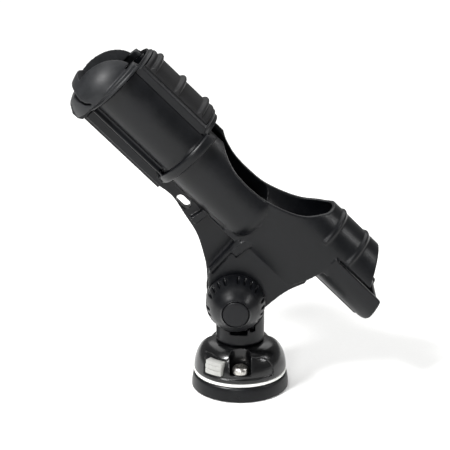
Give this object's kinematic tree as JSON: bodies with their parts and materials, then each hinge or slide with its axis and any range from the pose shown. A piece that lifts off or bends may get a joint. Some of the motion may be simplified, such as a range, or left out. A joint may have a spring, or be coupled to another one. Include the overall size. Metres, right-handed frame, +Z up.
{
  "type": "rod holder",
  "caption": "Tilting fishing rod holder: slotted tube cradle with a turning locking collar, clamp knob and round quick-release swivel base.",
  "frame": {"origin": "centre of the base's flat underside", "axes": "+Z up; the cradle's nose points to -X and up; the clamp knob is on the -Y side"},
  "size_m": [0.2218, 0.0812, 0.256],
  "materials": {
    "moulded_nylon": "moulded, lightly textured",
    "gloss_nylon": "polished",
    "grip_rubber": "matte",
    "black_rubber": "matte",
    "white_seal": "smooth",
    "grey_button": "satin",
    "stainless_steel": "brushed",
    "brass": "turned"
  },
  "bodies": {
    "port": {"base_foot": "moulded_nylon", "deck_gasket": "black_rubber", "seal_ring": "white_seal", "port_cover": "gloss_nylon", "mounting_screw_1": "stainless_steel", "mounting_screw_2": "stainless_steel", "mounting_screw_3": "stainless_steel", "latch_spring": "stainless_steel"},
    "release": {"release_button": "grey_button", "latch_plate": "stainless_steel"},
    "post": {"swivel_post": "moulded_nylon", "spigot_seal": "black_rubber"},
    "cradle": {"holder_body": "moulded_nylon", "nose_cap": "moulded_nylon", "pivot_bolt": "stainless_steel", "bolt_washer": "stainless_steel", "friction_disc_near": "grip_rubber", "friction_disc_far": "grip_rubber"},
    "collar": {"locking_collar": "moulded_nylon", "collar_grip": "grip_rubber"},
    "thrust": {"knob_washer": "stainless_steel"},
    "knob": {"tilt_knob": "moulded_nylon", "knob_cap": "moulded_nylon", "knob_insert": "brass"}
  },
  "joints": [
    {"name": "swivel", "type": "hinge", "parent": "port", "child": "post", "pos_m": [0, 0, 0.03], "axis": [0, 0, 1], "continuous": true},
    {"name": "release_press", "type": "slide", "parent": "port", "child": "release", "axis": [0.5592, 0.829, 0], "range_m": [0, 0.0022], "stiffness_N_per_m": 1500, "springref_m": -0.002, "deforming": ["latch_spring"]},
    {"name": "tilt", "type": "hinge", "parent": "post", "child": "cradle", "pos_m": [-0.0036, 0, 0.0732], "axis": [0, 1, 0], "range_deg": [-60, 25]},
    {"name": "collar_turn", "type": "hinge", "parent": "cradle", "child": "collar", "pos_m": [-0.06187, 0, 0.21107], "axis": [0.7071, 0, -0.7071], "range_deg": [0, 90]},
    {"name": "knob_backoff", "type": "slide", "parent": "cradle", "child": "thrust", "axis": [0, -1, 0], "range_m": [0, 0.0025]},
    {"name": "knob_turn", "type": "hinge", "parent": "thrust", "child": "knob", "pos_m": [-0.0036, 0, 0.0732], "axis": [0, -1, 0], "range_deg": [0, 720]}
  ],
  "couplings": [
    {"joint": "knob_turn", "follows": "knob_backoff", "rad_per_m": 5026.5}
  ]
}
